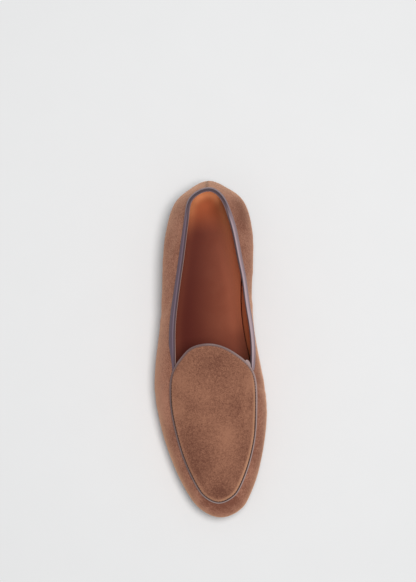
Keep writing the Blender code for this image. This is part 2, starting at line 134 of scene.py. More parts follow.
# Matt painted board: pale and even, with no gloss, and a tone so slight that it reads as flat.
painted_board, board = new_material("painted_board", {"Roughness": 0.9, "Specular IOR Level": 0.1})
board_place = add(painted_board, "TexCoord").outputs["Object"]
board_noise = add(painted_board, "TexNoise", {"Scale": 1 / FLOOR_GRAIN}, {"Vector": board_place})
board_tone = add(painted_board, "Mix", {6: linear("#e6e6e6"), 7: linear("#e8e8e8")},
                 {0: board_noise.outputs["Fac"]}, data_type="RGBA")
join(painted_board, board_tone.outputs[2], board, "Base Color")
floor.data.materials.append(painted_board)
print("floor", FLOOR_SIZE, "m")

# %% Lamp and sky
LAMP_SIZE = 0.8
LAMP_PLACE = (0.22, 0.14, 2.0)
LAMP_POWER = 32.5
SKY_STRENGTH = 0.3

bpy.ops.object.light_add(type="AREA", location=LAMP_PLACE)
lamp = bpy.context.active_object
lamp.name = "soft_lamp"
lamp.data.shape = "DISK"
lamp.data.size = LAMP_SIZE
lamp.data.energy = LAMP_POWER
lamp.rotation_euler = (-Vector(LAMP_PLACE)).to_track_quat("-Z", "Y").to_euler()
sky = bpy.data.worlds.new("pale_sky")
sky.use_nodes = True
sky.node_tree.nodes["Background"].inputs["Color"].default_value = linear("#f4f6f8")
sky.node_tree.nodes["Background"].inputs["Strength"].default_value = SKY_STRENGTH
bpy.context.scene.world = sky
print("lamp at", LAMP_PLACE, "and sky", SKY_STRENGTH)

# %% Spot into the heel
SPOT_PLACE = Vector((0, -0.38, 1.45))
SPOT_AIM = Vector((-3, 136, 25)) * MM
SPOT_WIDTH = math.radians(1.2)
SPOT_POWER = 30.0

bpy.ops.object.light_add(type="SPOT", location=SPOT_PLACE)
spot = bpy.context.active_object
spot.name = "heel_spot"
spot.data.spot_size = SPOT_WIDTH
spot.data.spot_blend = 1.0
spot.data.energy = SPOT_POWER
spot.rotation_euler = (SPOT_AIM - SPOT_PLACE).to_track_quat("-Z", "Y").to_euler()
print("spot from", round((SPOT_AIM - SPOT_PLACE).length, 2), "m")

# %% [markdown]
# ## Suede
#
# Suede is the flesh side of the skin, sanded until it stands up as a short nap. It has no gloss: the
# fibres scatter the light, glow a little where the surface turns away, and lie in patches where a hand
# has brushed them. A flat brown with bump alone would look like clay, so the colour has three layers:
# broad patches, small tufts and single fibres. Three numbers kept on the mesh add to it: one where a
# hand has laid the nap lighter or darker, which also holds painted highlights, painted shade and a
# painted sheen on the sides; one where an edge turns and its nap is paler, partly worn nap and partly a
# painted sheen and highlight; and one where the groove of a seam is painted in shade.

# %% Napped suede
BRUSHED_PATCH = 30 * MM
NAP_TUFT = 2.2 * MM
# Real fibres are a tenth of a millimetre; they are drawn coarser, at the size a pixel can show.
NAP_FIBRE = 0.9 * MM
NAP_HEIGHT = 0.5 * MM
# The nap is mostly fibres with some tufts, and the broad patches add this share to it
FIBRE_SHARE = 0.72
PATCH_SHARE = 0.3
# The nap lies darkest and palest at these sums of all the layers
LAID_DARK = 0.51
LAID_PALE = 0.79
# A paler tone for worn nap and for a painted sheen and highlight, and a dark one for painted shade in a
# seam's groove
WEAR_AND_LIGHT_TONE = "#cf9a79"
SEAM_SHADE = "#38201b"


def napped_suede(name, shade, light):
    """Sanded calf suede: matt, softly mottled, with a warm bloom where it turns away."""
    material, surface = new_material(name, {
        "Roughness": 0.95, "Specular IOR Level": 0.1, "IOR": 1.45,
        "Sheen Weight": 0.55, "Sheen Roughness": 0.38, "Sheen Tint": linear("#ffcfae")})
    place = add(material, "TexCoord").outputs["Object"]
    patches = add(material, "TexNoise", {"Scale": 1 / BRUSHED_PATCH, "Detail": 2.0},
                  {"Vector": place}).outputs["Fac"]
    tufts = add(material, "TexNoise", {"Scale": 1 / NAP_TUFT, "Detail": 2.0, "Distortion": 0.4},
                {"Vector": place}).outputs["Fac"]
    fibres = add(material, "TexNoise", {"Scale": 1 / NAP_FIBRE, "Detail": 5.0, "Roughness": 0.6},
                 {"Vector": place}).outputs["Fac"]
    nap = add(material, "Mix", {0: FIBRE_SHARE}, {2: tufts, 3: fibres}).outputs[0]
    pile = add(material, "Math", {1: PATCH_SHARE}, {0: patches, 2: nap},
               operation="MULTIPLY_ADD").outputs[0]
    # The lie of the nap, which also holds painted highlights, painted shade and a painted sheen
    lie = add(material, "Attribute", attribute_name="nap_and_painted_light").outputs["Fac"]
    laid = add(material, "Math", links={0: pile, 1: lie}, operation="ADD").outputs[0]
    tone = add(material, "MapRange", {"From Min": LAID_DARK, "From Max": LAID_PALE},
               {"Value": laid}).outputs[0]
    brown = add(material, "Mix", {6: linear(shade), 7: linear(light)}, {0: tone}, data_type="RGBA")
    # Worn nap and a painted sheen and highlight, mixed in as a paler tone
    wear_and_painted_light = add(material, "Attribute", attribute_name="wear_and_painted_light").outputs["Fac"]
    edged = add(material, "Mix", {7: linear(WEAR_AND_LIGHT_TONE)}, {0: wear_and_painted_light, 6: brown.outputs[2]},
                data_type="RGBA")
    # Painted shade in the groove of a seam
    seam = add(material, "Attribute", attribute_name="seam").outputs["Fac"]
    sewn = add(material, "Mix", {7: linear(SEAM_SHADE)}, {0: seam, 6: edged.outputs[2]},
               data_type="RGBA")
    relief = add(material, "Bump", {"Strength": 0.7, "Distance": NAP_HEIGHT}, {"Height": nap})
    join(material, sewn.outputs[2], surface, "Base Color")
    join(material, relief.outputs["Normal"], surface, "Normal")
    return material


upper_suede = napped_suede("napped_calf_suede", "#784a3b", "#b17d67")
# The apron takes a darker copy of the same suede, partly for the other lie of its nap and partly as
# painted shade
apron_suede = napped_suede("napped_calf_suede_apron", "#6c4436", "#9e6e57")
print("suede: patches", BRUSHED_PATCH / MM, "mm, tufts", NAP_TUFT / MM, "mm")

# %% [markdown]
# ## Leather
#
# The lining and insole are vegetable tanned calf: an orange tan with fine pores and a low, waxy gloss,
# with painted shade darkening it towards the outside of the foot and the toe. The piping and binding
# are thin dyed calf in a violet grey, a little shinier, because the leather is stretched tight over a
# cord or an edge. All are the same kind of surface: pores, a cloudy dye and a soft gloss. So one
# function makes the surface, and hands back its dye for a material to build on.

# %% Smooth leather
LEATHER_CLOUD = 18 * MM
# Only the middle of the noise's range is used, so that the dye reaches both of its tones
CLOUD_LOW = 0.32
CLOUD_HIGH = 0.68


def grain_leather(name, shade, light, pore, pore_depth, roughness, shine=0.35):
    """Smooth calf leather: fine pores, a cloudy dye and a soft waxed gloss."""
    material, surface = new_material(name, {
        "Roughness": roughness, "IOR": 1.5, "Specular IOR Level": shine})
    place = add(material, "TexCoord").outputs["Object"]
    cloud = add(material, "TexNoise", {"Scale": 1 / LEATHER_CLOUD, "Detail": 4.0},
                {"Vector": place}).outputs["Fac"]
    pores = add(material, "TexVoronoi", {"Scale": 1 / pore}, {"Vector": place}).outputs["Distance"]
    tone = add(material, "MapRange", {"From Min": CLOUD_LOW, "From Max": CLOUD_HIGH},
               {"Value": cloud}).outputs[0]
    dye = add(material, "Mix", {6: linear(shade), 7: linear(light)}, {0: tone}, data_type="RGBA")
    relief = add(material, "Bump", {"Strength": 0.35, "Distance": pore_depth}, {"Height": pores})
    join(material, dye.outputs[2], surface, "Base Color")
    join(material, relief.outputs["Normal"], surface, "Normal")
    return material, surface, dye.outputs[2]


tread_leather = grain_leather("natural_sole_leather", "#9c6b47", "#b5855c",
                              pore=2.0 * MM, pore_depth=0.15 * MM, roughness=0.5)[0]
edge_leather = grain_leather("dressed_edge_leather", "#3a241a", "#4a2f22",
                             pore=1.6 * MM, pore_depth=0.06 * MM, roughness=0.33)[0]
# Rough split leather under the insole, coloured dark as painted shade in the gap beside the insole
shaded_bed_leather = grain_leather("rough_split_leather_painted_shade", "#3a1a12", "#472016",
                            pore=1.8 * MM, pore_depth=0.2 * MM, roughness=0.85, shine=0.1)[0]
print("leathers:", tread_leather.name, edge_leather.name, shaded_bed_leather.name)

# %% [markdown]
# The tan leather inside the shoe isn't one tone. Painted shade darkens it towards the outside of the
# foot and under the throat, and painted light makes it paler along the inner side and more orange in
# the heel seat. It is palest close under the collar round the heel, where more light is painted in: how
# much is a number kept on the mesh. The rest follows the place in the shoe, so the lining and the
# insole can share one recipe.

# %% Tan leather inside the shoe
# Painted shade under the throat and towards the outer side, and painted light along the inner side, in
# the heel seat and close under the collar
THROAT_PAINTED_SHADE = "#773b29"
OUTER_SIDE_PAINTED_SHADE = "#581f15"
INNER_SIDE_PAINTED_LIGHT = "#a65d42"
HEEL_SEAT_PAINTED_LIGHT = "#a3522f"
SIDE_PAINTED_LIGHT = "#fa9264"
HEEL_PAINTED_LIGHT = "#e69463"
# Where each tone starts and where it is full: along the foot in Y, or across it in X
THROAT_Y = (0.024, -0.004)
OUTER_SHADE_X = (0.026, -0.024)
INNER_LIGHT_X = (0.016, 0.036)
SEAT_LIGHT_Y = (0.1, 0.128)
HEEL_LIGHT_Y = (0.095, 0.118)
# The inner side of the mouth runs slantwise: this share of Y brings it to one line of X
MOUTH_SLANT = 0.14
# The painted light on the inner side ends before the throat, and softly
THROAT_END = 0.006
THROAT_SOFT = 0.012


def tan_calf(name, pore):
    """Vegetable tanned calf with a low waxy gloss, and light and shade painted in by its place in the
    shoe.
    """
    material, surface, dye = grain_leather(name, "#8a4832", "#925039", pore, pore_depth=0.1 * MM,
                                           roughness=0.65, shine=0.12)
    place = add(material, "TexCoord").outputs["Object"]
    axes = add(material, "SeparateXYZ", links={"Vector": place})
    x, y = axes.outputs["X"], axes.outputs["Y"]
    slanted = add(material, "Math", {1: MOUTH_SLANT}, {0: y, 2: x},
                  operation="MULTIPLY_ADD").outputs[0]
    from_throat = add(material, "Math", {1: THROAT_END}, {0: y}, operation="ADD").outputs[0]
    inwards = add(material, "Math", {2: THROAT_SOFT}, {0: slanted, 1: from_throat},
                  operation="SMOOTH_MIN").outputs[0]
    tones = ((THROAT_PAINTED_SHADE, y, THROAT_Y), (OUTER_SIDE_PAINTED_SHADE, x, OUTER_SHADE_X), (INNER_SIDE_PAINTED_LIGHT, inwards, INNER_LIGHT_X),
             (HEEL_SEAT_PAINTED_LIGHT, y, SEAT_LIGHT_Y))
    colour = dye
    for code, measure, (start, full) in tones:
        amount = add(material, "MapRange", {"From Min": start, "From Max": full}, {"Value": measure},
                     interpolation_type="SMOOTHSTEP").outputs[0]
        colour = add(material, "Mix", {7: linear(code)}, {0: amount, 6: colour},
                     data_type="RGBA").outputs[2]
    # Light painted in close under the collar, more orange towards the heel
    painted_light = add(material, "Attribute", attribute_name="painted_light").outputs["Fac"]
    start, full = HEEL_LIGHT_Y
    to_heel = add(material, "MapRange", {"From Min": start, "From Max": full}, {"Value": y}).outputs[0]
    pale = add(material, "Mix", {6: linear(SIDE_PAINTED_LIGHT), 7: linear(HEEL_PAINTED_LIGHT)}, {0: to_heel},
               data_type="RGBA").outputs[2]
    paled = add(material, "Mix", links={0: painted_light, 6: colour, 7: pale}, data_type="RGBA")
    join(material, paled.outputs[2], surface, "Base Color")
    return material


lining_leather = tan_calf("tan_calf_lining", 1.1 * MM)
sock_leather = tan_calf("tan_calf_insole_painted_light_and_shade", 1.2 * MM)
print("inside:", lining_leather.name, sock_leather.name)

# %% [markdown]
# ## From model to mesh
#
# A node of the model is a closed skin of loose triangles. A copy of it is merged, its triangles
# are paired into quads again, and a Subdivision Surface rounds it. That keeps the form of the last
# exactly, where a new mesh would only come near it. Edges that should stay crisp are creased first.

# %% Copy a node
SAME_POINT = 0.002 * MM
PAIR_ANGLE = math.radians(60)


def only(piece):
    """Select one object alone and make it the active one."""
    bpy.ops.object.select_all(action="DESELECT")
    piece.select_set(True)
    bpy.context.view_layer.objects.active = piece


def copy_of(node, name):
    """A merged copy of a node, in quads, which stands for it in the picture."""
    piece = bpy.data.objects.new(name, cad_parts[node].data.copy())
    bpy.context.scene.collection.objects.link(piece)
    piece.data.materials.clear()
    only(piece)
    bpy.ops.object.mode_set(mode="EDIT")
    bpy.ops.mesh.select_all(action="SELECT")
    bpy.ops.mesh.customdata_custom_splitnormals_clear()
    bpy.ops.mesh.remove_doubles(threshold=SAME_POINT)
    bpy.ops.mesh.tris_convert_to_quads(face_threshold=PAIR_ANGLE, shape_threshold=PAIR_ANGLE)
    bpy.ops.object.mode_set(mode="OBJECT")
    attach(piece, "root")
    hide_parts(node)
    quads = sum(len(face.vertices) == 4 for face in piece.data.polygons)
    print(name, "starts with", quads, "quads in", len(piece.data.polygons), "faces")
    return piece


print("copies are merged within", SAME_POINT / MM, "mm")

# %% Refine a piece
SMOOTH_ANGLE = math.radians(50)


def refine(piece, levels, crease, sharp):
    """Crease the edges that turn more than the sharp angle in degrees, then subdivide and smooth."""
    only(piece)
    bpy.ops.object.mode_set(mode="EDIT")
    bpy.ops.mesh.select_all(action="DESELECT")
    bpy.ops.mesh.select_mode(type="EDGE")
    bpy.ops.mesh.edges_select_sharp(sharpness=math.radians(sharp))
    bpy.ops.transform.edge_crease(value=crease)
    bpy.ops.object.mode_set(mode="OBJECT")
    rounding = piece.modifiers.new("rounding", "SUBSURF")
    rounding.levels = levels
    rounding.render_levels = levels
    bpy.ops.object.modifier_apply(modifier="rounding")
    bpy.ops.object.shade_smooth_by_angle(angle=SMOOTH_ANGLE)
    print(piece.name, "refined to", len(piece.data.polygons), "faces")


print("pieces are shaded smooth up to", round(math.degrees(SMOOTH_ANGLE)), "degrees")

# %% [markdown]
# ## Upper and lining
#
# The upper is one wall: suede outside, tan lining inside. Which side a face is on is easy to ask:
# a line straight out of the lining meets the shoe again, and a line out of the suede doesn't.

# %% Upper
# A line starts this far off its face and ends this far away; a second line leans down from the first
LOOK_FROM = 0.4 * MM
LOOK_FAR = 150 * MM
LOOK_DOWN = Vector((0, 0, -0.6))

upper = copy_of("upper", "suede_upper")
corners = []
faces = []
for name in ("upper", "insole"):
    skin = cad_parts[name].data
    first = len(corners)
    corners.extend(vertex.co.copy() for vertex in skin.vertices)
    faces.extend([first + i for i in face.vertices] for face in skin.polygons)
shoe_skin = BVHTree.FromPolygons(corners, faces)
upper.data.materials.append(upper_suede)
upper.data.materials.append(lining_leather)
for face in upper.data.polygons:
    start = face.center + face.normal * LOOK_FROM
    seen = [shoe_skin.ray_cast(start, way.normalized(), LOOK_FAR)[0]
            for way in (face.normal, face.normal + LOOK_DOWN)]
    face.material_index = int(any(place is not None for place in seen))
refine(upper, levels=2, crease=0.5, sharp=55)
print("lining faces:", sum(face.material_index for face in upper.data.polygons))

# %% [markdown]
# The lasted edge of the upper is pressed down on the sole. Rounding draws that edge up by a hair,
# and light would shine in under it. So each point close above the sole is let down onto it.

# %% Upper onto the sole
PRESS_REACH = 2.0 * MM
PRESS_FULL = 1.2 * MM
BED_IN = 0.1 * MM
LOWEST_EDGE = 30 * MM


def points_of(piece):
    """All the points of a piece, one row each, in metres."""
    places = np.empty(len(piece.data.vertices) * 3)
    piece.data.vertices.foreach_get("co", places)
    return places.reshape(-1, 3)


def move_points(piece, places):
    """Put the points of a piece at new places."""
    piece.data.vertices.foreach_set("co", places.ravel())
    piece.data.update()


sole_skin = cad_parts["outsole"].data
sole_top = BVHTree.FromPolygons([vertex.co.copy() for vertex in sole_skin.vertices],
                                [list(face.vertices) for face in sole_skin.polygons])
places = points_of(upper)
let_down = np.zeros(len(places))
for index in np.flatnonzero(places[:, 2] < LOWEST_EDGE):
    gap = sole_top.ray_cast(Vector(places[index]), Vector((0, 0, -1)), PRESS_REACH)[3]
    if gap is not None:
        let_down[index] = (gap + BED_IN) * min(1, (PRESS_REACH - gap) / (PRESS_REACH - PRESS_FULL))
places[:, 2] -= let_down
move_points(upper, places)
print("edge let down by up to", round(let_down.max() / MM, 2), "mm at",
      int((let_down > 0).sum()), "points")

# %% [markdown]
# How much light is painted into the leather depends on how close it lies under the collar, seen from
# above. The model's binding is pressed flat for that, and each point asks for its distance to it.

# %% Painted light under the collar
# Where the painted light at the heel starts and where it is full, in Y, first beside the heel and then
# behind it
HEEL_SIDES = (95, 118)
HEEL_BEHIND = (110, 134)
# The inner side of the foot starts between these two lines of X
INNER_HALF = (-4, 8)
# How far the painted light reaches down from the collar at the heel, in millimetres
LIT_REACH_HEEL = 4.0
# How strong it is beside the heel, and on the outer side, where it grows so many times towards the heel
LIT_INNER = 0.8
LIT_OUTER = 0.07
LIT_GROWS = 3
# The inner side takes this many millimetres of Y to reach its full painted light
LIT_SOFT = 25
# The collar leans in over the seat, so its flat line is drawn wider by this much
COLLAR_LEAN = 1.03

strip_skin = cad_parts["collar_binding"].data
flat_collar = BVHTree.FromPolygons(
    [Vector((vertex.co.x, vertex.co.y, 0)) * COLLAR_LEAN for vertex in strip_skin.vertices],
    [list(face.vertices) for face in strip_skin.polygons])


def mark(piece, name, values):
    """Keep one number for each point, for the piece's material to read."""
    layer = piece.data.attributes.new(name, "FLOAT", "POINT")
    layer.data.foreach_set("value", np.asarray(values, dtype=np.float32))


def hump(distance, width):
    """A soft rise: 1 at no distance, fading out over the width."""
    return np.exp(-((distance / width) ** 2))


def rise_over(values, start, end):
    """From 0 at the start to 1 at the end, both in millimetres."""
    return np.clip((values / MM - start) / (end - start), 0, 1)


def paint_light_under_collar(piece, inner, start, reach):
    """Keep how much light is painted on each point: most at the heel, and on the inner side from a
    start in Y.
    """
    places = points_of(piece)
    away = np.array([flat_collar.find_nearest((x, y, 0))[3] for x, y in places[:, :2]])
    at_heel = rise_over(places[:, 1], *HEEL_BEHIND)
    near_heel = rise_over(places[:, 1], *HEEL_SIDES)
    along_side = inner * rise_over(places[:, 1], start, start + LIT_SOFT)
    at_inner = along_side * (1 - near_heel) + LIT_INNER * near_heel
    at_inner *= rise_over(places[:, 0], *INNER_HALF)
    at_outer = LIT_OUTER * (1 + LIT_GROWS * near_heel)
    reach = (reach + (LIT_REACH_HEEL - reach) * at_heel) * MM
    mark(piece, "painted_light", hump(away, reach) * np.maximum.reduce((at_heel, at_inner, at_outer)))
    print(piece.name, "rubbed at", int((away < reach).sum()), "points")


# Painted light in the lining, close under the collar
paint_light_under_collar(upper, inner=0.95, start=-22, reach=9.0)

# %% [markdown]
# The two halves of the quarters meet in a short seam at the back of the heel. The mesh is cut
# along the seam with Bisect, to have points where the seam needs them. Then the seam's own points
# sink in, and the suede beside it stands up a little where it is turned back.

# %% Back seam
SEAM_X = -3.3 * MM
SEAM_CUTS = (-1.6, -0.55, 0.0, 0.55, 1.6)
SEAM_FROM = 118 * MM
SEAM_BAND = 8 * MM
SEAM_WIDE = 1.2 * MM
# Depth of the groove and height of the turned edges beside it, in millimetres
GROOVE_DEPTH = 0.2
LIP_HEIGHT = 0.12
GROOVE_WIDE = 0.5 * MM
LIP_PLACE = 1.6 * MM
LIP_WIDE = 0.8 * MM


def pick_faces(piece, chosen):
    """Select only the faces that the test chooses, and stay in edit mode; returns their centres."""
    only(piece)
    bpy.ops.object.mode_set(mode="EDIT")
    bpy.ops.mesh.select_mode(type="FACE")
    bpy.ops.mesh.select_all(action="DESELECT")
    bpy.ops.object.mode_set(mode="OBJECT")
    for face in piece.data.polygons:
        face.select = chosen(face)
    centres = [face.center.copy() for face in piece.data.polygons if face.select]
    bpy.ops.object.mode_set(mode="EDIT")
    return centres


def normals_of(piece):
    """The direction each point of a piece faces."""
    ways = np.empty(len(piece.data.vertices) * 3)
    piece.data.vertex_normals.foreach_get("vector", ways)
    return ways.reshape(-1, 3)


def beside_seam(face):
    """Whether a face is suede close to the back seam."""
    near = abs(face.center.x - SEAM_X) < SEAM_BAND and face.center.y > SEAM_FROM
    return near and face.material_index == 0


for cut in SEAM_CUTS:
    pick_faces(upper, beside_seam)
    bpy.ops.mesh.bisect(plane_co=(SEAM_X + cut * MM, 0, 0), plane_no=(1, 0, 0))
    bpy.ops.object.mode_set(mode="OBJECT")
bpy.ops.object.shade_smooth_by_angle(angle=SMOOTH_ANGLE)
places, ways = points_of(upper), normals_of(upper)
outside = np.zeros(len(places), dtype=bool)
for face in upper.data.polygons:
    if face.material_index == 0:
        outside[list(face.vertices)] = True
from_seam = np.abs(places[:, 0] - SEAM_X)
at_back = outside & (places[:, 1] > SEAM_FROM)
groove = GROOVE_DEPTH * hump(from_seam, GROOVE_WIDE)
lips = LIP_HEIGHT * hump(from_seam - LIP_PLACE, LIP_WIDE)
places -= ways * ((groove - lips) * at_back)[:, None] * MM
move_points(upper, places)
mark(upper, "seam", hump(from_seam, SEAM_WIDE) * at_back)
print("back seam points:", int((at_back & (from_seam < SEAM_WIDE)).sum()))

# %% [markdown]
# A new loafer is nearly smooth, but never as smooth as its last. Each crease is given one by one: two
# points in millimetres seen from above, then its width and depth. It is a soft trough with a low ridge
# beside it, pressed into the suede only.

# %% Soft creases
# From (x, y) to (x, y), width and depth, in millimetres
CREASES = (
    (-39, -26, -45, -33, 4.5, 0.45),
    (-38, -42, -44, -49, 4.0, 0.4),
    (41, -28, 46, -36, 4.5, 0.45),
    (41.5, -45, 47, -52, 4.0, 0.35),
    (-36, 42, -42, 30, 6.0, 0.5),
    (34.5, 62, 36, 44, 6.0, 0.45),
    (-33, 96, -38, 82, 6.0, 0.4),
    (25, 104, 33, 94, 6.0, 0.4),
)
# The ridge beside a crease stands up by this share of its depth
RIDGE_SHARE = 0.5


def along_line(places, start, end):
    """The distance of each point from a line between two points, seen from above."""
    start, end = np.array(start) * MM, np.array(end) * MM
    run = end - start
    share = np.clip(((places[:, :2] - start) @ run) / (run @ run), 0, 1)
    return np.linalg.norm(places[:, :2] - start - share[:, None] * run, axis=1)


places, ways = points_of(upper), normals_of(upper)
press = np.zeros(len(places))
for x0, y0, x1, y1, width, depth in CREASES:
    away = along_line(places, (x0, y0), (x1, y1))
    half = width * MM / 2
    press += depth * (hump(away, half) - RIDGE_SHARE * hump(away - width * MM, half))
places -= ways * (press * outside)[:, None] * MM
move_points(upper, places)
print(len(CREASES), "creases, deepest", round(press.max(), 2), "mm")

# %% [markdown]
# The heel isn't quite round. It is pinched on both sides of the back seam, so from above it comes to
# a blunt point. The whole wall is pressed towards the middle of the heel there, most where it bulges.

# %% Pinched heel
# Direction from the heel's middle and spread in degrees, and depth in millimetres
PINCHES = ((121, 25, 1.45), (62, 19, 1.05))
PINCH_MIDDLE = np.array((-3.0, 112.0)) * MM
PINCH_LEVEL = 36 * MM
PINCH_TALL = 20 * MM

places = points_of(upper)
from_middle = places[:, :2] - PINCH_MIDDLE
turn = np.degrees(np.arctan2(from_middle[:, 1], from_middle[:, 0]))
pinch = sum(depth * hump(turn - middle, spread) for middle, spread, depth in PINCHES)
pinch *= hump(places[:, 2] - PINCH_LEVEL, PINCH_TALL)
from_middle /= np.linalg.norm(from_middle, axis=1)[:, None]
places[:, :2] -= from_middle * pinch[:, None] * MM
move_points(upper, places)
print("heel pinched by up to", round(pinch.max(), 2), "mm")

# %% [markdown]
# A hand that strokes suede leaves lighter and darker patches. They are listed as well, each by its
# middle, its reach across and along the shoe, and how much lighter or darker the nap lies.
# Some of the patches are painted light and shade rather than nap, and the sides of the upper are
# painted paler as well, as a sheen where the wall turns down.

# %% Brushed patches, with painted light and shade
# A side counts as turned down, and takes a painted sheen, where its normal has less than about this
# much Z
TURN_STEEP = 0.35
# Among the upper's patches are painted shade below the piping at the toe and a painted sheen round the
# toe's rim and along the outer side
# Middle (x, y), reach across and along in millimetres, and tone
UPPER_PATCHES = (
    (27, 113, 6, 13, -0.16),
    (22, 126, 8, 7, -0.10),
    (14, 140, 8, 5, -0.2),
    (-20, 139, 5, 4, -0.05),
    (5, 146, 8, 4, -0.28),
    (-8, 145, 6, 4, -0.14),
    (38, 86, 4, 18, 0.09),
    (-27, 119, 8, 12, -0.04),
    (-41, 70, 4, 20, 0.05),
    (9, -137, 11, 6, -0.19),
    (19, -132, 6, 4, -0.11),
    (-3, -133.5, 6, 4, -0.09),
    (-16, -120, 4, 7, -0.04),
    (31, -122, 4, 6, -0.04),
    (-12.5, -135, 3, 6, 0.12),
    (-5.5, -141, 4, 3.5, 0.14),
    (2, -146.5, 7, 2.2, 0.1),
    (15, -147, 7, 2.2, 0.1),
    (24, -141, 4, 3.5, 0.13),
    (30, -135, 3, 5, 0.13),
    (-34, -78, 5, 9, -0.08),
    (-44, -34, 7, 34, 0.10),
    (-42, 20, 6, 22, 0.06),
)
# The first apron patch is a painted highlight where the apron bends at the inner corner of the throat
APRON_PATCHES = (
    (34.5, -29, 5, 9, 0.2),
    (-27, -28, 6, 7, 0.08),
    (15, -77, 8, 12, 0.12),
    (-13, -62, 12, 8, 0.03),
    (-27, -52, 5, 14, 0.09),
    (31, -52, 5, 12, 0.09),
    (3, -10, 15, 8, -0.09),
    (-12, -101, 10, 15, -0.10),
    (10, -123, 9, 9, -0.08),
    (-21, -77, 6, 11, -0.06),
    (27, -75, 4, 15, -0.05),
)


def lay_nap_and_paint_light(piece, patches, painted_side_sheen=0.0):
    """Keep the lie of a piece's nap with painted light and shade: the sum of its patches, and a painted
    sheen where it turns down.
    """
    places = points_of(piece)
    lie = painted_side_sheen * hump(normals_of(piece)[:, 2], TURN_STEEP)
    for x, y, across, along, amount in patches:
        reach = np.hypot((places[:, 0] / MM - x) / across, (places[:, 1] / MM - y) / along)
        lie += amount * hump(reach, 1.0)
    mark(piece, "nap_and_painted_light", lie)
    print(piece.name, "brushed from", round(lie.min(), 2), "to", round(lie.max(), 2))


# The sides of the upper take a painted sheen
lay_nap_and_paint_light(upper, UPPER_PATCHES, painted_side_sheen=0.13)

# %% [markdown]
# Round the toe a pale sheen is painted into the nap where the wall turns down, and from further back on
# the outer side of the foot. It could be painted as one more patch. But it follows the turn of the
# wall, so it is read from the normals: the more a point faces sideways, the paler it is.

# %% Painted sheen round the toe
TOE_STEEP = 0.46
# The painted sheen starts and is full this far in front of the middle, in millimetres, slanted by a
# share of X
TOE_FROM = 60
TOE_FULL = 120
TOE_SLANT = 0.6

places, ways = points_of(upper), normals_of(upper)
to_toe = rise_over(-places[:, 1] - TOE_SLANT * places[:, 0], TOE_FROM, TOE_FULL)
painted_sheen = to_toe * hump(ways[:, 2], TOE_STEEP) * outside
mark(upper, "wear_and_painted_light", painted_sheen)
print("toe worn pale at", int((painted_sheen > 0).sum()), "points")

# %% [markdown]
# ## Apron
#
# The apron is the plug on top of the foot. Its edge is turned and rolled where it is sewn to the
# piping, and the nap there is worn paler, with a painted highlight along the raised edge. The edge of
# the model's apron is a run of sharp edges, so it can be followed from point to point, and it then
# serves the rim and the stitches.

# %% The apron's edge
SHARP = math.radians(55)
LINE_STEPS = 24
STITCH_PITCH = 2.5 * MM


def sharp_loops(piece):
    """The closed runs of sharp edges of a piece, each as points in order."""
    sides = {}
    for face in piece.data.polygons:
        for key in face.edge_keys:
            sides.setdefault(key, []).append(face.normal)
    beside = {}
    for (a, b), pair in sides.items():
        if len(pair) == 2 and pair[0].angle(pair[1]) > SHARP:
            beside.setdefault(a, []).append(b)
            beside.setdefault(b, []).append(a)
    places = points_of(piece)
    loops = []
    while beside:
        walk = [min(beside)]
        while True:
            ahead = [i for i in beside.pop(walk[-1]) if i in beside]
            if not ahead:
                break
            walk.append(ahead[0])
        loops.append(places[walk])
    return loops


def even_loop(points, spacing):
    """A smooth closed line through points, as points at an even spacing in metres."""
    p0, p1 = np.roll(points, 1, axis=0), points
    p2, p3 = np.roll(points, -1, axis=0), np.roll(points, -2, axis=0)
    t = np.linspace(0, 1, LINE_STEPS, endpoint=False)[None, :, None]
    a, b, c, d = (p[:, None, :] for p in (p0, p1, p2, p3))
    square, cube = 2 * a - 5 * b + 4 * c - d, 3 * b - a - 3 * c + d
    line = 0.5 * (2 * b + (c - a) * t + square * t**2 + cube * t**3)
    line = line.reshape(-1, 3)
    closed = np.vstack([line, line[:1]])
    runs = np.concatenate([[0], np.cumsum(np.linalg.norm(np.diff(closed, axis=0), axis=1))])
    count = round(runs[-1] / spacing)
    wanted = np.linspace(0, runs[-1], count, endpoint=False)
    return np.stack([np.interp(wanted, runs, closed[:, k]) for k in range(3)], axis=1)


apron = copy_of("apron", "suede_apron")
edges = sorted(sharp_loops(apron), key=lambda loop: loop[:, 2].mean())
seam_line = even_loop(edges[-1], STITCH_PITCH)
print("apron edge:", len(edges), "runs;", len(seam_line), "stitches of", STITCH_PITCH / MM, "mm")

# %% Directions along the seam
# At each stitch: along the seam, out from the apron and up from it
runs = np.roll(seam_line, -1, axis=0) - np.roll(seam_line, 1, axis=0)
runs /= np.linalg.norm(runs, axis=1)[:, None]
seam_out = np.cross(runs, (0, 0, 1))
seam_out /= np.linalg.norm(seam_out, axis=1)[:, None]
seam_out *= np.sign(np.sum(seam_out * (seam_line - seam_line.mean(axis=0)), axis=1))[:, None]
seam_up = np.cross(runs, seam_out)
seam_up *= np.sign(seam_up[:, 2])[:, None]
print("the seam looks up by", round(float(seam_up[:, 2].min()), 2), "or more")

# %% [markdown]
# The rim stands up where the suede is turned over, with a soft hollow behind it. A bevel could round
# the edge but couldn't raise it, so its points are pushed along their normals by their distance from
# the edge. The same distance says how pale the rim is: worn nap, with a painted highlight along the
# raised edge.

# %% Rolled rim
ROLL_WIDTH = 1.5 * MM
ROLL_HEIGHT = 0.4
HOLLOW_DEPTH = 0.12
HOLLOW_PLACE = 4.5 * MM
HOLLOW_WIDE = 1.8 * MM
EDGE_SPACING = 0.5 * MM
# A point is on the apron's top where its normal has more than this much Z
TOP_SIDE = 0.3
# The pale line on the rim, worn nap with a painted highlight: how pale, how far from the edge and how
# wide
ROLL_PALE = 0.42
PALE_PLACE = 0.9 * MM
PALE_WIDE = 1.3 * MM
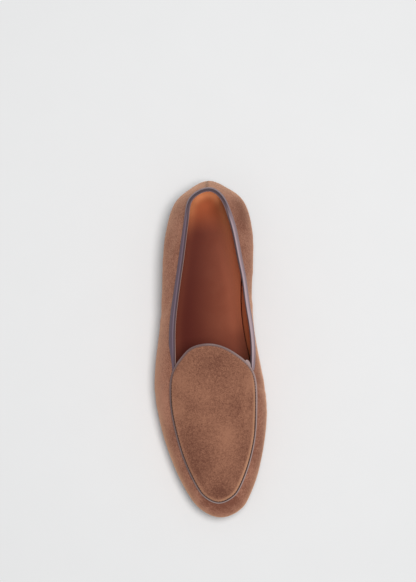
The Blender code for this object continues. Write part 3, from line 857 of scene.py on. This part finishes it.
# It is palest on the inner side of the foot, where the painted highlight is strongest, and fades
# towards its free edge at the throat
PALE_INNER = 0.6
ROLL_REACH = 30 * MM
ROLL_FADE = 22 * MM
FADE_START = 0.6
FADE_LEAST = 0.1

apron.data.materials.append(apron_suede)
refine(apron, levels=2, crease=0.6, sharp=55)
places, ways = points_of(apron), normals_of(apron)
dense_edge = even_loop(edges[-1], EDGE_SPACING)
from_edge = np.array([np.linalg.norm(dense_edge - place, axis=1).min() for place in places])
on_top = ways[:, 2] > TOP_SIDE
roll = ROLL_HEIGHT * hump(from_edge - ROLL_WIDTH, ROLL_WIDTH)
hollow = HOLLOW_DEPTH * hump(from_edge - HOLLOW_PLACE, HOLLOW_WIDE)
places += ways * ((roll - hollow) * on_top)[:, None] * MM
move_points(apron, places)
# Worn nap and a painted highlight on the rim, strongest on the inner side of the foot
inner_side = 1 + PALE_INNER * np.clip(places[:, 0] / ROLL_REACH, -1, 1)
below_throat = np.clip(-places[:, 1] / ROLL_FADE - FADE_START, FADE_LEAST, 1)
pale = ROLL_PALE * inner_side * below_throat * hump(from_edge - PALE_PLACE, PALE_WIDE)
mark(apron, "wear_and_painted_light", pale * on_top)
lay_nap_and_paint_light(apron, APRON_PATCHES)
print("rim points:", int((on_top & (from_edge < 2 * ROLL_WIDTH)).sum()))

# %% [markdown]
# ## Piping
#
# The piping is a cord rolled in thin grey leather and caught in the seam. The model's cord has six
# sides; two rounds of subdivision make it round, and it is then swelled back to its own thickness,
# because subdividing a six-sided cord makes it thinner. The half of the cord that faces away from the
# apron carries a painted highlight, palest on the inner side of the foot and at the toe, and the half
# in the seam carries painted shade, but for the throat, where that shade is painted lighter. So each
# point keeps how far it faces out.
# At the throat the apron's edge is free, and the leather round the cord is drawn in under that edge:
# the points that face the apron are pulled towards it, or light would show between the two.

# %% Piping
PIPING_SWELL = 0.07 * MM
DRAWN_IN = 1.1 * MM
# It is drawn in from the first of these places in Y, and fully from the second, in millimetres
DRAWN_ALONG = (-40, -28)

piping = copy_of("apron_piping", "piping_cord")
refine(piping, levels=2, crease=0.0, sharp=170)
places, ways = points_of(piping), normals_of(piping)
nearest = np.array([np.linalg.norm(seam_line - place, axis=1).argmin() for place in places])
faces_out = np.sum(seam_out[nearest] * ways, axis=1)
mark(piping, "faces_out", 0.5 + 0.5 * faces_out)
drawn = DRAWN_IN * rise_over(places[:, 1], *DRAWN_ALONG) * np.clip(-faces_out, 0, 1) ** 3
move_points(piping, places + ways * PIPING_SWELL - seam_out[nearest] * drawn[:, None])
print("piping faces out from", round(faces_out.min(), 2), "to", round(faces_out.max(), 2))

# %% Leather of the piping
# The cord's painted highlight, and its painted shade in the seam
CORD_PAINTED_LIGHT = "#a88f8b"
CORD_SEAM_PAINTED_SHADE = "#56433f"
# The painted highlight grows from the first to the second of these lines of X, slanted by a share of Y
PAINTED_LIGHT_LINES = (0.008, 0.042)
PAINTED_LIGHT_SLANT = -0.25
# How far a point faces out where it leaves the seam, and where it is wholly in it
SEAM_SIDES = (0.68, 0.42)
# The painted shade in the seam pales towards the throat between these two lines of Y, slanted by a
# share of X
SEAM_DARK = -0.057
SEAM_PALE = -0.035
SEAM_SLANT = 0.3
SEAM_LEAST = 0.25

# Dyed calf over a cord: violet grey and a little glossy, with a painted highlight on its outer half and
# painted shade where it lies in the seam.
piping_leather, cord, cord_dye = grain_leather(
    "dyed_grey_calf_cord", "#6f5755", "#826967", pore=0.9 * MM, pore_depth=0.08 * MM, roughness=0.42)
cord_axes = add(piping_leather, "SeparateXYZ",
                links={"Vector": add(piping_leather, "TexCoord").outputs["Object"]})
cord_x, cord_y = cord_axes.outputs["X"], cord_axes.outputs["Y"]
cord_slant = add(piping_leather, "Math", {1: PAINTED_LIGHT_SLANT}, {0: cord_y, 2: cord_x},
                 operation="MULTIPLY_ADD").outputs[0]
to_painted_light = add(piping_leather, "MapRange", {"From Min": PAINTED_LIGHT_LINES[0], "From Max": PAINTED_LIGHT_LINES[1]},
                {"Value": cord_slant}, interpolation_type="SMOOTHSTEP").outputs[0]
# Painted highlight, growing towards the inner side of the foot and the toe
painted_light = add(piping_leather, "Mix", {7: linear(CORD_PAINTED_LIGHT)}, {0: to_painted_light, 6: cord_dye},
             data_type="RGBA")
cord_side = add(piping_leather, "Attribute", attribute_name="faces_out").outputs["Fac"]
in_seam = add(piping_leather, "MapRange", {"From Min": SEAM_SIDES[0], "From Max": SEAM_SIDES[1]},
              {"Value": cord_side}).outputs[0]
cord_along = add(piping_leather, "Math", {1: SEAM_SLANT}, {0: cord_x, 2: cord_y},
                 operation="MULTIPLY_ADD").outputs[0]
at_throat = add(piping_leather, "MapRange",
                {"From Min": SEAM_PALE, "From Max": SEAM_DARK, "To Min": SEAM_LEAST},
                {"Value": cord_along}).outputs[0]
# Painted shade where the cord lies in the seam, lighter towards the throat
seam_shade = add(piping_leather, "Math", links={0: in_seam, 1: at_throat},
                 operation="MULTIPLY").outputs[0]
cord_tone = add(piping_leather, "Mix", {7: linear(CORD_SEAM_PAINTED_SHADE)}, {0: seam_shade, 6: painted_light.outputs[2]},
                data_type="RGBA")
join(piping_leather, cord_tone.outputs[2], cord, "Base Color")
piping.data.materials.append(piping_leather)
print("piping is", piping_leather.name)

# %% [markdown]
# ## Stitches
#
# A dark waxed thread shows in the groove between the piping and the rolled rim. One stitch is
# modelled as a small bead of thread, drawn out to a stitch's length. It is then set along the seam
# line as one joined mesh, each copy turned to run with the seam.

# %% Stitches
STITCH_LONG = 0.8 * MM
STITCH_WIDE = 0.4 * MM
STITCH_HIGH = 0.24 * MM
STITCH_OUT = 0.15 * MM
STITCH_UP = 0.18 * MM

bpy.ops.object.select_all(action="DESELECT")
bpy.ops.mesh.primitive_uv_sphere_add(segments=8, ring_count=6, radius=1, location=(0, 0, 0))
stitches = bpy.context.active_object
stitches.name = "apron_stitches"
bead = points_of(stitches) * (STITCH_LONG, STITCH_WIDE, STITCH_HIGH)
bead_faces = [list(face.vertices) for face in stitches.data.polygons]
thread_points = []
thread_faces = []
for place, run, out, up in zip(seam_line, runs, seam_out, seam_up):
    first = len(thread_points)
    centre = place + out * STITCH_OUT + up * STITCH_UP
    thread_points.extend(centre + bead @ np.array((run, out, up)))
    thread_faces.extend([[first + i for i in face] for face in bead_faces])
stitches.data.clear_geometry()
stitches.data.from_pydata([tuple(p) for p in thread_points], [], thread_faces)


def round_off(piece):
    """Turn all the faces of a closed piece outwards and shade it smooth."""
    only(piece)
    bpy.ops.object.mode_set(mode="EDIT")
    bpy.ops.mesh.select_all(action="SELECT")
    bpy.ops.mesh.normals_make_consistent(inside=False)
    bpy.ops.object.mode_set(mode="OBJECT")
    bpy.ops.object.shade_smooth()


round_off(stitches)
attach(stitches, "root")
print(len(seam_line), "stitches,", len(thread_faces), "faces")

# %% Waxed thread
THREAD_TWIST = 0.5 * MM
THREAD_PALER = "#8c6555"
# The thread turns paler from the first to the second of these places in Y, and by no more than the last
# number
PALER_ALONG = (-0.034, -0.018)
PALER_MOST = 0.75

# Waxed linen thread: twisted, dark brown, with a dull waxy light on it, and paler towards the throat.
waxed_thread, thread = new_material("waxed_linen_thread",
                                    {"Roughness": 0.55, "Specular IOR Level": 0.3})
thread_place = add(waxed_thread, "TexCoord").outputs["Object"]
twist = add(waxed_thread, "TexNoise", {"Scale": 1 / THREAD_TWIST},
            {"Vector": thread_place}).outputs["Fac"]
thread_dye = add(waxed_thread, "Mix", {6: linear("#33211d"), 7: linear("#553a32")}, {0: twist},
                 data_type="RGBA")
thread_axes = add(waxed_thread, "SeparateXYZ", links={"Vector": thread_place})
thread_paling = add(waxed_thread, "MapRange",
                  {"From Min": PALER_ALONG[0], "From Max": PALER_ALONG[1], "To Max": PALER_MOST},
                  {"Value": thread_axes.outputs["Y"]}).outputs[0]
thread_tone = add(waxed_thread, "Mix", {7: linear(THREAD_PALER)},
                  {0: thread_paling, 6: thread_dye.outputs[2]}, data_type="RGBA")
join(waxed_thread, thread_tone.outputs[2], thread, "Base Color")
stitches.data.materials.append(waxed_thread)
print("stitches are", waxed_thread.name)

# %% [markdown]
# ## Binding
#
# A strip of the same grey leather is folded over the collar. Its two ends run on under the piping, so
# each end is extruded forwards and drawn in to a wedge. Seen from above, the strip outside the fold is
# violet grey, a highlight is painted on the fold, and painted shade turns the strip inside it dark. On
# the inner side of the foot the painted highlight on the fold is palest and the painted shade inside
# nearly black, and at the back of the heel only the outer rim is painted pale. How far a point faces
# outwards or inwards is kept on the mesh, and three colour ramps turn it into those tones.

# %% Binding
END_REACH = Vector((0.6, -4.2, -1.5)) * MM
END_TAPER = 0.6
# A face is on an end where it lies in front of this place in Y and looks forwards this much
END_FROM = -10 * MM
END_LOOKS = -0.5


def on_end(face, side):
    """Whether a face closes the strip's end on one side of the foot."""
    ahead = face.center.y < END_FROM and face.normal.y < END_LOOKS
    return ahead and face.center.x * side > 0


binding = copy_of("collar_binding", "binding_strip")
for side in (-1, 1):
    ends = pick_faces(binding, lambda face: on_end(face, side))
    reach = Vector((-side * END_REACH.x, END_REACH.y, END_REACH.z))
    bpy.ops.mesh.extrude_region_move(TRANSFORM_OT_translate={"value": reach})
    pivot = sum(ends, Vector()) / len(ends) + reach
    bpy.ops.transform.resize(value=(END_TAPER,) * 3, center_override=pivot)
    bpy.ops.object.mode_set(mode="OBJECT")
    print("binding end", "medial" if side > 0 else "lateral", "of", len(ends), "faces")
refine(binding, levels=2, crease=0.2, sharp=80)

# %% [markdown]
# On the outer side of the foot the strip is cut narrower towards its end, so that it runs out where
# it meets the piping. The points outside the fold are drawn towards the fold's line, more and more.

# %% Narrow end of the strip
# The fold's line at the outer corner of the throat: Y, X and Z in millimetres, from back to front
FOLD_LINE = np.array(((8, -32.8, 57.1), (-5, -32.3, 56.7), (-13, -32.2, 55.7), (-20, -32.7, 54.2),
                      (-28, -34.3, 51.2)))
# Where the narrowing starts and where it is full, in Y, and what is left of the strip there
NARROW_FROM = 4.0
NARROW_TO = -16.6
NARROWEST = 0.25

places = points_of(binding)
kept = 1 - (1 - NARROWEST) * rise_over(places[:, 1], NARROW_FROM, NARROW_TO)
fold = [np.interp(-places[:, 1] / MM, -FOLD_LINE[:, 0], FOLD_LINE[:, column]) * MM
        for column in (1, 2)]
outer = places[:, 0] < fold[0]
for axis, line in zip((0, 2), fold):
    places[outer, axis] = (line + (places[:, axis] - line) * kept)[outer]
move_points(binding, places)
print("strip narrowed at", int((outer & (kept < 1)).sum()), "points")

# %% [markdown]
# Which way a point of the strip faces is asked from the middle line of the shoe's mouth: outwards is
# away from that line. At the back of the heel the strip is also drawn tighter over the edge.

# %% Sides of the strip
HEEL_CENTRE = np.array((-1.0, 112.0)) * MM
THROAT_CENTRE = np.array((3.0, -20.0)) * MM
HEEL_DRAWN = 0.9 * MM
# It is drawn from the first of these places in Y, and fully from the second, in millimetres
HEEL_ALONG = (112, 130)

places, ways = points_of(binding), normals_of(binding)
run = THROAT_CENTRE - HEEL_CENTRE
share = np.clip(((places[:, :2] - HEEL_CENTRE) @ run) / (run @ run), 0, 1)
out = places[:, :2] - HEEL_CENTRE - share[:, None] * run
out /= np.linalg.norm(out, axis=1)[:, None]
faces_out = np.sum(out * ways[:, :2], axis=1)
mark(binding, "faces_out", 0.5 + 0.5 * faces_out)
drawn = HEEL_DRAWN * rise_over(places[:, 1], *HEEL_ALONG) * (0.5 - 0.5 * faces_out)
places[:, :2] += out * drawn[:, None]
move_points(binding, places)
print("binding faces out from", round(faces_out.min(), 2), "to", round(faces_out.max(), 2))

# %% Leather of the binding
# Painted shade on the inside of the strip and a painted highlight on its fold, one ramp for each part
# of the collar
# From facing inwards at 0, over the fold at 0.5, to facing outwards at 1
OUTER_FOOT = ((0.06, "#d0ab9d"), (0.14, "#56444a"), (0.3, "#4f3d43"), (0.42, "#675560"),
              (0.55, "#6f5d6a"), (0.8, "#63515d"))
INNER_FOOT = ((0.2, "#5a484b"), (0.26, "#5a4a4d"), (0.32, "#c0abb0"), (0.46, "#ab969c"),
              (0.6, "#a18b91"), (0.9, "#8f7b80"))
HEEL_BACK = ((0.08, "#a88c88"), (0.2, "#6f5b60"), (0.34, "#37292f"), (0.6, "#2c2127"),
             (0.76, "#3c3037"), (0.86, "#927f86"))
# Where one ramp gives way to the next: to the inner side in X, and to the heel's back in Y
TO_INNER = (0.0, 0.022)
TO_BACK = (0.105, 0.128)
# How much of the plain dye still shows through
DYE_SHARE = 0.12
STRIP_WRINKLE = 1.6 * MM
WRINKLE_DEPTH = 0.25 * MM
# The wrinkles run across the shoe, so their noise is drawn out in X and Z
WRINKLE_DRAWN = (0.25, 1.0, 0.25)

# Dyed calf strip: violet grey, with a painted highlight on the fold and painted shade inside it, and
# small wrinkles across it.
binding_leather, strip, strip_dye = grain_leather(
    "dyed_grey_calf_strip", "#6b5861", "#7f6c75", pore=0.9 * MM, pore_depth=0.08 * MM,
    roughness=0.45, shine=0.2)
strip_place = add(binding_leather, "TexCoord").outputs["Object"]
strip_axes = add(binding_leather, "SeparateXYZ", links={"Vector": strip_place})
strip_stretch = add(binding_leather, "Mapping", {"Scale": WRINKLE_DRAWN}, {"Vector": strip_place})
wrinkles = add(binding_leather, "TexNoise", {"Scale": 1 / STRIP_WRINKLE, "Detail": 2.0},
               {"Vector": strip_stretch.outputs["Vector"]}).outputs["Fac"]
side_of_fold = add(binding_leather, "Attribute", attribute_name="faces_out").outputs["Fac"]
ramps = []
# Each ramp paints light and shade by the way a point faces
for stops in (OUTER_FOOT, INNER_FOOT, HEEL_BACK):
    ramp = add(binding_leather, "ValToRGB", links={"Fac": side_of_fold})
    while len(ramp.color_ramp.elements) < len(stops):
        ramp.color_ramp.elements.new(1.0)
    for element, (position, code) in zip(ramp.color_ramp.elements, stops):
        element.position = position
        element.color = linear(code)
    ramps.append(ramp.outputs["Color"])
to_inner = add(binding_leather, "MapRange", {"From Min": TO_INNER[0], "From Max": TO_INNER[1]},
               {"Value": strip_axes.outputs["X"]}, interpolation_type="SMOOTHSTEP").outputs[0]
to_back = add(binding_leather, "MapRange", {"From Min": TO_BACK[0], "From Max": TO_BACK[1]},
              {"Value": strip_axes.outputs["Y"]}, interpolation_type="SMOOTHSTEP").outputs[0]
two_sides = add(binding_leather, "Mix", links={0: to_inner, 6: ramps[0], 7: ramps[1]},
                data_type="RGBA")
all_round = add(binding_leather, "Mix", links={0: to_back, 6: two_sides.outputs[2], 7: ramps[2]},
                data_type="RGBA")
strip_tone = add(binding_leather, "Mix", {0: DYE_SHARE}, {6: all_round.outputs[2], 7: strip_dye},
                 data_type="RGBA")
strip_relief = add(binding_leather, "Bump", {"Strength": 0.4, "Distance": WRINKLE_DEPTH},
                   {"Height": wrinkles})
join(binding_leather, strip_tone.outputs[2], strip, "Base Color")
join(binding_leather, strip_relief.outputs["Normal"], strip, "Normal")
binding.data.materials.append(binding_leather)
print("binding is", binding_leather.name, "with", len(ramps), "ramps")

# %% [markdown]
# In the corner of the throat on the inner side, a small lug of the grey leather looks out from under
# the piping, where the end of the cord is turned in. It starts as a ball. Its points are laid along
# the seam, so that the lug grows out of the cord: blunt at its upper end, and running out thin
# towards the corner.

# %% Throat lug
LUG_MIDDLE = np.array((30.4, -13.4, 62.3)) * MM
LUG_HALF_LONG = 4.2 * MM
LUG_HALF_WIDE = 2.4 * MM
LUG_HALF_THICK = 0.8 * MM
LUG_OUT = 2.4 * MM
LUG_DOWN = 1.1 * MM
# The lug is this wide in its middle, as a share, and changes by the other share towards its ends
LUG_SHARE = 0.75
LUG_CHANGE = 0.25

bpy.ops.object.select_all(action="DESELECT")
bpy.ops.mesh.primitive_uv_sphere_add(segments=32, ring_count=16, radius=1, location=(0, 0, 0),
                                     rotation=(0, math.pi / 2, 0))
lug = bpy.context.active_object
lug.name = "throat_lug"
bpy.ops.object.transform_apply(location=True, rotation=True, scale=True)
ball = points_of(lug)
middle = np.linalg.norm(seam_line - LUG_MIDDLE, axis=1).argmin()
steps = middle + ball[:, 0] * LUG_HALF_LONG / STITCH_PITCH
taper = LUG_SHARE + LUG_CHANGE * ball[:, 0]


def along_seam(rows):
    """The rows kept for the seam's points, read between those points."""
    numbers = np.arange(len(rows))
    return np.stack([np.interp(steps, numbers, rows[:, axis]) for axis in range(3)], axis=1)


wide = (LUG_OUT + ball[:, 1] * LUG_HALF_WIDE) * taper
thick = ball[:, 2] * LUG_HALF_THICK - LUG_DOWN
move_points(lug, along_seam(seam_line) + along_seam(seam_out) * wide[:, None]
            + along_seam(seam_up) * thick[:, None])
round_off(lug)
lug.data.materials.append(piping_leather)
# The whole lug counts as facing out, so it takes the cord's tone and none of the painted seam shade
mark(lug, "faces_out", np.ones(len(lug.data.vertices)))
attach(lug, "root")
print("lug of", [round(side / MM, 1) for side in lug.dimensions], "mm")

# %% [markdown]
# ## Insole
#
# The insole is covered with the same leather as the lining. Its edge stays crisp where it was cut, so
# it is creased strongly before it is subdivided. Its faces reach from side to side, which is too wide
# for a patch of painted light to fade in, so the long edges are cut first. Leather spreads a little
# under a foot, so at the waist the inner edge is let out by less than a millimetre.

# %% Insole
LONG_EDGE = 14 * MM
EDGE_CUTS = 7
SPREAD = 0.9 * MM
# The waist starts and ends softly in Y, and only its inner edge spreads, all in millimetres
WAIST_FRONT = (-20, 0)
WAIST_BACK = (75, 50)
INNER_EDGE = (18, 30)

insole = copy_of("insole", "tan_insole")
insole.data.materials.append(sock_leather)
only(insole)
bpy.ops.object.mode_set(mode="EDIT")
bpy.ops.mesh.select_mode(type="EDGE")
bpy.ops.mesh.select_all(action="DESELECT")
bpy.ops.object.mode_set(mode="OBJECT")
for edge in insole.data.edges:
    first, second = (insole.data.vertices[i].co for i in edge.vertices)
    edge.select = (second - first).length > LONG_EDGE
bpy.ops.object.mode_set(mode="EDIT")
bpy.ops.mesh.subdivide(number_cuts=EDGE_CUTS)
bpy.ops.object.mode_set(mode="OBJECT")
refine(insole, levels=2, crease=0.7, sharp=55)
places = points_of(insole)
at_waist = rise_over(places[:, 1], *WAIST_FRONT) * rise_over(places[:, 1], *WAIST_BACK)
places[:, 0] += SPREAD * at_waist * rise_over(places[:, 0], *INNER_EDGE)
move_points(insole, places)
# Painted light in the insole, close under the collar
paint_light_under_collar(insole, inner=0.55, start=8, reach=5.0)

# %% [markdown]
# ## Sole and heel
#
# The sole is cut close under the upper, so it hardly shows. Its tread is natural leather, its edge is
# dressed dark, and the rough bed inside the shoe is coloured darker as painted shade, so it shows as a
# thin dark line beside the insole. The heel is built up from lifts of the same leather.

# %% Outsole
# A face is on the tread or the bed where its normal has more than this much Z
FLAT = 0.8

outsole = copy_of("outsole", "leather_sole")
for leather in (edge_leather, tread_leather, shaded_bed_leather):
    outsole.data.materials.append(leather)
for face in outsole.data.polygons:
    face.material_index = 1 if face.normal.z < -FLAT else 2 if face.normal.z > FLAT else 0
refine(outsole, levels=2, crease=0.7, sharp=35)

# %% Stacked heel
LIFT = 3.6 * MM
# The dark joint between two lifts fades out over these shares of a lift
JOINT_SHARES = (0.1, 0.02)

# Stacked leather, dyed and polished: each lift ends in a fine dark line.
heel_leather, stack, stack_dye = grain_leather(
    "stacked_heel_leather", "#4e2f20", "#5f3b29", pore=2.0 * MM, pore_depth=0.08 * MM, roughness=0.36)
stack_place = add(heel_leather, "TexCoord").outputs["Object"]
stack_axes = add(heel_leather, "SeparateXYZ", links={"Vector": stack_place})
in_lifts = add(heel_leather, "Math", {1: LIFT}, {0: stack_axes.outputs["Z"]},
               operation="DIVIDE").outputs[0]
in_lift = add(heel_leather, "Math", links={0: in_lifts}, operation="FRACT").outputs[0]
joint = add(heel_leather, "MapRange", {"From Min": JOINT_SHARES[0], "From Max": JOINT_SHARES[1]},
            {"Value": in_lift}).outputs[0]
lifts = add(heel_leather, "Mix", {7: linear("#24140d")}, {0: joint, 6: stack_dye}, data_type="RGBA")
join(heel_leather, lifts.outputs[2], stack, "Base Color")
heel = copy_of("heel", "stacked_heel")
heel.data.materials.append(heel_leather)
heel.data.materials.append(tread_leather)
for face in heel.data.polygons:
    face.material_index = int(face.normal.z < -FLAT)
refine(heel, levels=2, crease=0.8, sharp=35)
